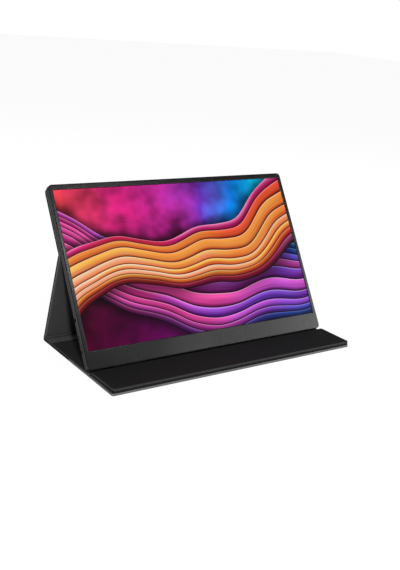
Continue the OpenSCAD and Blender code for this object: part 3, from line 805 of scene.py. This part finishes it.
def monitor_frame():
    R = 5.0
    def out(g):
        return rounded_loop(-HW - g, HW + g, -g, MON_H + g, max(R + g, 0.3))
    def win(g):
        return rounded_loop(-ACT_W / 2 - g, ACT_W / 2 + g, CHIN - g, CHIN + ACT_H + g, 0.5 + g)
    loops = [(out(-0.18), -2.2), (out(-0.05), -2.14), (out(0), -2.02), (out(0), -0.6)]
    r = 0.6
    for j in range(1, 7):
        a = math.radians(90 * j / 6)
        loops.append((out(-r + r * math.cos(a)), -r + r * math.sin(a)))
    loops += [(out(-2.0), 0.0), (win(1.2), 0.0), (win(0.55), 0.0), (win(0.42), -0.06), (win(0.3), -0.3), (win(0.3), -0.7),
              (win(1.5), -0.7), (out(-1.3), -0.7), (out(-1.3), -2.2)]
    verts, faces = loops_to_mesh("monitor_frame", loops, True, None)
    ob = new_object("monitor_frame", verts, faces, [FRAME_P])
    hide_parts("front_frame")
    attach(ob, "monitor")
    return ob


def cutter(name, ring_at):
    """A closed solid from rings of points that all have the same count; each ring is a list of frame points."""
    n = len(ring_at[0])
    verts = [p for ring in ring_at for p in ring]
    faces = []
    for r in range(len(ring_at) - 1):
        for i in range(n):
            a, b = r * n + i, r * n + (i + 1) % n
            faces.append((a, b, b + n, a + n))
    faces.append(tuple(range(n))[::-1])
    faces.append(tuple(range((len(ring_at) - 1) * n, len(ring_at) * n)))
    me = bpy.data.meshes.new(name)
    me.from_pydata(verts, [], faces)
    bm = bmesh.new()
    bm.from_mesh(me)
    bmesh.ops.recalc_face_normals(bm, faces=bm.faces)
    bm.to_mesh(me)
    bm.free()
    ob = bpy.data.objects.new(name, me)
    scene.collection.objects.link(ob)
    return ob


def stadium(v, w, wide, high, n=14):
    """Outline of a slot in v and w."""
    pts = []
    h = high / 2
    for s, a0 in ((1, -90), (-1, 90)):
        for j in range(n + 1):
            a = math.radians(a0 + 180 * j / n)
            pts.append((v + s * (wide / 2 - h) + h * math.cos(a), w + h * math.sin(a)))
    return pts


def boolean(ob, tools, keep=False):
    for t in tools:
        mod = ob.modifiers.new("cut", "BOOLEAN")
        mod.operation = "DIFFERENCE"
        mod.solver = "EXACT"
        mod.object = t
    dg = bpy.context.evaluated_depsgraph_get()
    me = bpy.data.meshes.new_from_object(ob.evaluated_get(dg))
    ob.modifiers.clear()
    old = ob.data
    ob.data = me
    bpy.data.meshes.remove(old)
    for t in tools:
        d = t.data
        bpy.data.objects.remove(t)
        bpy.data.meshes.remove(d)
    return ob


def side_tool(name, outline_fn, side, deep=6.0, flare=0.35):
    """Cutter through a side wall: side is -1 for the left and 1 for the right; the mouth is flared."""
    x_out, x_face, x_in = side * (HW + 1.0), side * HW, side * (HW - deep)
    rings = [[mon(x_out, v, w) for v, w in outline_fn(flare + 0.35)],
             [mon(x_face - side * flare, v, w) for v, w in outline_fn(0.0)],
             [mon(x_in, v, w) for v, w in outline_fn(0.0)]]
    return cutter(name, rings)


def monitor_shell():
    R = 5.0
    def out(g):
        return rounded_loop(-HW - g, HW + g, -g, MON_H + g, max(R + g, 0.4))
    br = 2.2
    loops = [(out(-0.18), -2.2), (out(-0.05), -2.26), (out(0), -2.38), (out(0), -(MON_T - br))]
    for j in range(1, 9):
        a = math.radians(90 * j / 8)
        loops.append((out(-br + br * math.cos(a)), -(MON_T - br) - br * math.sin(a)))
    verts, faces = loops_to_mesh("monitor_shell", loops, False, None)
    n = len(loops[0][0])
    last = (len(loops) - 1) * n
    faces.append(tuple(range(last, last + n)))
    # inner tray, so that it is a shell with a real wall
    inner = [(out(-1.3), -2.2), (out(-1.3), -(MON_T - 1.1))]
    k0 = len(verts)
    for pts, w in inner:
        verts += [mon(p[0], p[1], w) for p in pts]
    for i in range(n):
        a, b = i, (i + 1) % n
        faces.append((a, b, k0 + b, k0 + a))
        faces.append((k0 + a, k0 + b, k0 + n + b, k0 + n + a))
    faces.append(tuple(range(k0 + n, k0 + 2 * n)))
    ob = new_object("monitor_shell", verts, faces, [SHELL_P])
    tools = []
    for i, v in enumerate((36.0, 52.0)):
        tools.append(side_tool(f"cut_usb{i}", lambda g, v=v: stadium(v, -5.0, 9.3 + 2 * g, 3.5 + 2 * g), 1))
    def video(g):
        base = [(64.2, -3.2), (75.8, -3.2), (75.8, -5.6), (74.4, -6.8), (65.6, -6.8), (64.2, -5.6)]
        c = (70.0, -5.0)
        return [(p[0] + g * (1 if p[0] > c[0] else -1), p[1] + g * (1 if p[1] > c[1] else -1)) for p in base]
    tools.append(side_tool("cut_video", video, 1))
    tools.append(side_tool("cut_jack", lambda g: stadium(60.0, -5.0, 4.7 + 2 * g, 4.7 + 2 * g - 0.001, 16), -1))
    tools.append(side_tool("cut_power", lambda g: stadium(22.5, -5.0, 3.6 + 2 * g, 3.6 + 2 * g - 0.001, 16), -1, flare=0.25))
    def rocker(g):
        return [(p[0] + 35.0, p[1] - 5.0) for p in rounded_loop(-6.25 - g, 6.25 + g, -1.4 - g, 1.4 + g, 0.5 + g, 4, 3, 2)]
    tools.append(side_tool("cut_rocker", rocker, -1, flare=0.8))
    for s in (-1, 1):
        for i in range(8):
            xc = s * 118.0 - 18.0 + i * 5
            outline = [(p[0] + 12.0, p[1] + xc) for p in stadium(0, 0, 10.0, 1.2, 8)]
            flare = [(p[0] + 12.0, p[1] + xc) for p in stadium(0, 0, 10.9, 2.1, 8)]
            rings = [[mon(q, p, -MON_T - 0.5) for p, q in flare], [mon(q, p, -MON_T + 0.3) for p, q in outline],
                     [mon(q, p, -MON_T + 1.6) for p, q in outline]]
            tools.append(cutter(f"cut_slot{s}_{i}", rings))
    boolean(ob, tools)
    me = ob.data
    me.polygons.foreach_set("use_smooth", [True] * len(me.polygons))
    me.set_sharp_from_angle(angle=math.radians(30))
    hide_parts("rear_shell")
    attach(ob, "monitor")
    return ob


def bevelled(name, verts, faces, mats, width, segments=3, angle=30.0):
    ob = new_object(name, verts, faces, mats, smooth_angle=angle)
    mod = ob.modifiers.new("edge", "BEVEL")
    mod.width = width
    mod.segments = segments
    mod.limit_method = "ANGLE"
    mod.angle_limit = math.radians(40)
    dg = bpy.context.evaluated_depsgraph_get()
    me = bpy.data.meshes.new_from_object(ob.evaluated_get(dg))
    ob.modifiers.clear()
    ob.data = me
    me.polygons.foreach_set("use_smooth", [True] * len(me.polygons))
    me.set_sharp_from_angle(angle=math.radians(50))
    return ob


def menu_rocker():
    """Rocker cap: a crowned bar with a shallow dip at its middle and grip grooves on both halves."""
    nx, nv = 8, 96
    verts, faces = [], []
    for i in range(nv + 1):
        t = i / nv
        v = 29.0 + 12.0 * t
        e = round_off(np.array([min(t, 1 - t) * 12.0]), 1.0)[0]
        for j in range(nx + 1):
            q = j / nx
            w = -6.2 + 2.4 * q
            ew = round_off(np.array([min(q, 1 - q) * 2.4]), 0.5)[0]
            dip = 0.16 * math.exp(-((v - 35) / 1.4) ** 2)
            dip += 0.42 * math.exp(-(min(abs(abs(v - 35) - g) for g in (1.6, 3.2, 4.8)) / 0.38) ** 2) * ew
            x = -HW - 0.32 + 0.45 * (1 - e) + 0.3 * (1 - ew) + dip
            verts.append(mon(x, v, w))
    back = len(verts)
    for i in range(nv + 1):
        for j in range(nx + 1):
            verts.append(mon(-HW + 1.2, 29.0 + 12.0 * i / nv, -6.2 + 2.4 * j / nx))
    w_ = nx + 1
    for i in range(nv):
        for j in range(nx):
            a = i * w_ + j
            faces.append((a, a + 1, a + w_ + 1, a + w_))
            faces.append((back + a, back + a + w_, back + a + w_ + 1, back + a + 1))
    rim = [j for j in range(w_)] + [i * w_ + nx for i in range(1, nv + 1)] + \
          [nv * w_ + j for j in range(nx - 1, -1, -1)] + [i * w_ for i in range(nv - 1, 0, -1)]
    for i in range(len(rim)):
        a, b = rim[i], rim[(i + 1) % len(rim)]
        faces.append((a, b, back + b, back + a))
    ob = new_object("menu_rocker_cap", verts, faces, [KEY_P], smooth_angle=45)
    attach(ob, "rocker")
    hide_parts("menu_rocker")
    return ob


def power_key():
    """Round key with a dished top and a small raised dot."""
    n = 40
    prof = [(0.0, -0.12), (0.35, -0.14), (0.45, -0.06), (0.6, -0.06), (0.75, -0.12), (1.1, -0.2), (1.35, -0.26), (1.52, -0.24),
            (1.62, -0.12), (1.65, 0.05), (1.65, 1.9)]
    verts, faces = [mon(-HW + prof[0][1], 22.5, -5.0)], []
    for r, x in prof[1:]:
        for i in range(n):
            a = 2 * math.pi * i / n
            verts.append(mon(-HW + x, 22.5 + r * math.cos(a), -5.0 + r * math.sin(a)))
    for i in range(n):
        faces.append((0, 1 + i, 1 + (i + 1) % n))
    for k in range(len(prof) - 2):
        for i in range(n):
            a, b = 1 + k * n + i, 1 + k * n + (i + 1) % n
            faces.append((a, b, b + n, a + n))
    last = 1 + (len(prof) - 2) * n
    faces.append(tuple(range(last, last + n)))
    ob = new_object("power_key_cap", verts, faces, [POWER_KEY_PAINTED_SHADE], smooth_angle=50)
    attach(ob, "power_key")
    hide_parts("power_button")
    return ob


monitor_frame()
monitor_shell()
menu_rocker()
power_key()

# ------------------------------------------------------------------ the CAD pieces each cover piece stands for, and the bodies the linings and the lip move with
s_pt = lambda s: world(0, *MAIN.at(s)[0][0])
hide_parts("flap_skin", "flap_board")
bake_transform(flap_band)
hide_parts("flap_lining")
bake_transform(flap_lining)


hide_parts("base_skin", "base_board", "spine_board", "strut_skin", "strut_board")
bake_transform(base_band)
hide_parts("rear_skin", "rear_board")
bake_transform(rear_band)
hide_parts("base_lining")
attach(base_lining, "base")
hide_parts("spine_lining")
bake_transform(spine_strip)
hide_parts("strut_lining")
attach(strut_lining, "strut")
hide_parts("rear_lining")
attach(rear_lining, "rear_panel")
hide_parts("lip_skin", "lip_board")
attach(lip_band, "lip")
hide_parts("lip_lining")
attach(lip_lining, "lip")
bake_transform(strip)

# ------------------------------------------------------------------ floor and light
def floor():
    me = bpy.data.meshes.new("floor")
    s = 6.0
    me.from_pydata([(-s, -s, 0), (s, -s, 0), (s, s, 0), (-s, s, 0)], [], [(0, 1, 2, 3)])
    ob = bpy.data.objects.new("floor", me)
    scene.collection.objects.link(ob)
    k = Mat("floor")
    n = k.noise(3.0, 3.0, 0.5)
    k.set(base=k.ramp(n, [(0.3, (0.84, 0.84, 0.84)), (0.7, (0.86, 0.86, 0.86))]), rough=0.8, spec=0.1)
    out = next(x for x in k.t.nodes if x.type == "OUTPUT_MATERIAL")
    ray = k.t.nodes.new("ShaderNodeLightPath")
    glow = k.t.nodes.new("ShaderNodeEmission")
    glow.inputs["Strength"].default_value = 1.04
    both = k.t.nodes.new("ShaderNodeMixShader")
    k.t.links.new(k.math("MULTIPLY", ray.outputs["Is Camera Ray"], 0.9), both.inputs[0])
    k.t.links.new(k.p.outputs[0], both.inputs[1])
    k.t.links.new(glow.outputs[0], both.inputs[2])
    k.t.links.new(both.outputs[0], out.inputs["Surface"])
    me.materials.append(k.m)
    return ob


floor()


def area(name, az, el, dist, size, power, look=(0.0, 0.0, 0.09), colour=(1, 1, 1)):
    """A softbox seen from the object at azimuth az (0 is straight ahead of the screen, positive to the right)."""
    a, e = math.radians(az), math.radians(el)
    loc = Vector(look) + dist * Vector((math.sin(a) * math.cos(e), -math.cos(a) * math.cos(e), math.sin(e)))
    d = bpy.data.lights.new(name, "AREA")
    d.shape = "RECTANGLE"
    d.size, d.size_y = size
    d.energy = power
    d.color = colour
    ob = bpy.data.objects.new(name, d)
    scene.collection.objects.link(ob)
    ob.location = loc
    ob.rotation_mode = "QUATERNION"
    ob.rotation_quaternion = (Vector(look) - loc).to_track_quat("-Z", "Y")
    return ob


def studio():
    w = bpy.data.worlds.new("studio")
    scene.world = w
    w.use_nodes = True
    t = w.node_tree
    bg = t.nodes["Background"]
    ray = t.nodes.new("ShaderNodeLightPath")
    tc = t.nodes.new("ShaderNodeTexCoord")
    sep = t.nodes.new("ShaderNodeSeparateXYZ")
    t.links.new(tc.outputs["Generated"], sep.inputs[0])
    ramp = t.nodes.new("ShaderNodeMapRange")
    ramp.interpolation_type = "SMOOTHSTEP"
    for i, x in enumerate((-0.7, 0.8, 0.36, 0.10)):
        ramp.inputs[i + 1].default_value = x
    t.links.new(sep.outputs[1], ramp.inputs[0])
    mix = t.nodes.new("ShaderNodeMix")
    t.links.new(ray.outputs["Is Camera Ray"], mix.inputs[0])
    t.links.new(ramp.outputs[0], mix.inputs[2])
    mix.inputs[3].default_value = 1.02
    t.links.new(mix.outputs[0], bg.inputs[1])
    bg.inputs[0].default_value = (1, 1, 1, 1)


studio()
area("left", -25.5, 12, 2.2, (0.13, 0.3), 55)
area("side", -97, 8, 1.7, (0.6, 0.5), 11)
area("gleam", 33, 43.5, 1.8, (0.1, 0.16), 3.6)
area("middle", 41, 27.5, 1.8, (0.22, 0.12), 1.3)
area("right", 66, 17, 1.6, (0.9, 0.55), 15)
area("front", 5, 10, 1.7, (1.8, 0.4), 5)
area("back", 165, 55, 1.8, (1.4, 1.0), 14)
